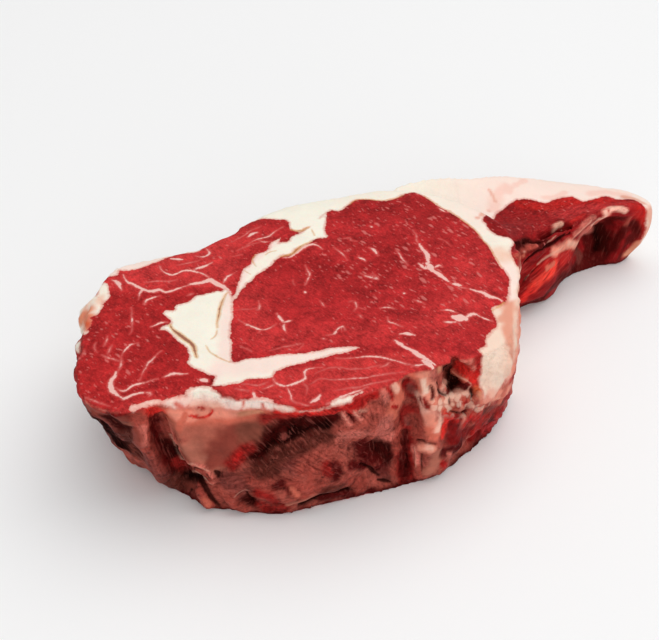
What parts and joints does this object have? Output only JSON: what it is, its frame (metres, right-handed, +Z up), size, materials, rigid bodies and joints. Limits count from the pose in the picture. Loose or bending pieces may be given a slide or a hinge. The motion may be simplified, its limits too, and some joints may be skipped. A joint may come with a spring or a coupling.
{
  "type": "raw ribeye steak",
  "caption": "Thick raw beef ribeye steak lying flat, boned out, with a fat cap, a wedge of seam fat and its thin tail left on.",
  "frame": {"origin": "on the surface the steak lies on, under the middle of its bounding box", "axes": "+Z up through the cut's thickness, +X along the steak towards the tip of its tail, -Y towards the trimmed front side"},
  "size_m": [0.2204, 0.1608, 0.0512],
  "materials": {
    "raw_beef": "moist raw meat, deep red with creamy fat and fine marbling"
  },
  "bodies": {
    "root": {"steak": "raw_beef"}
  },
  "joints": []
}
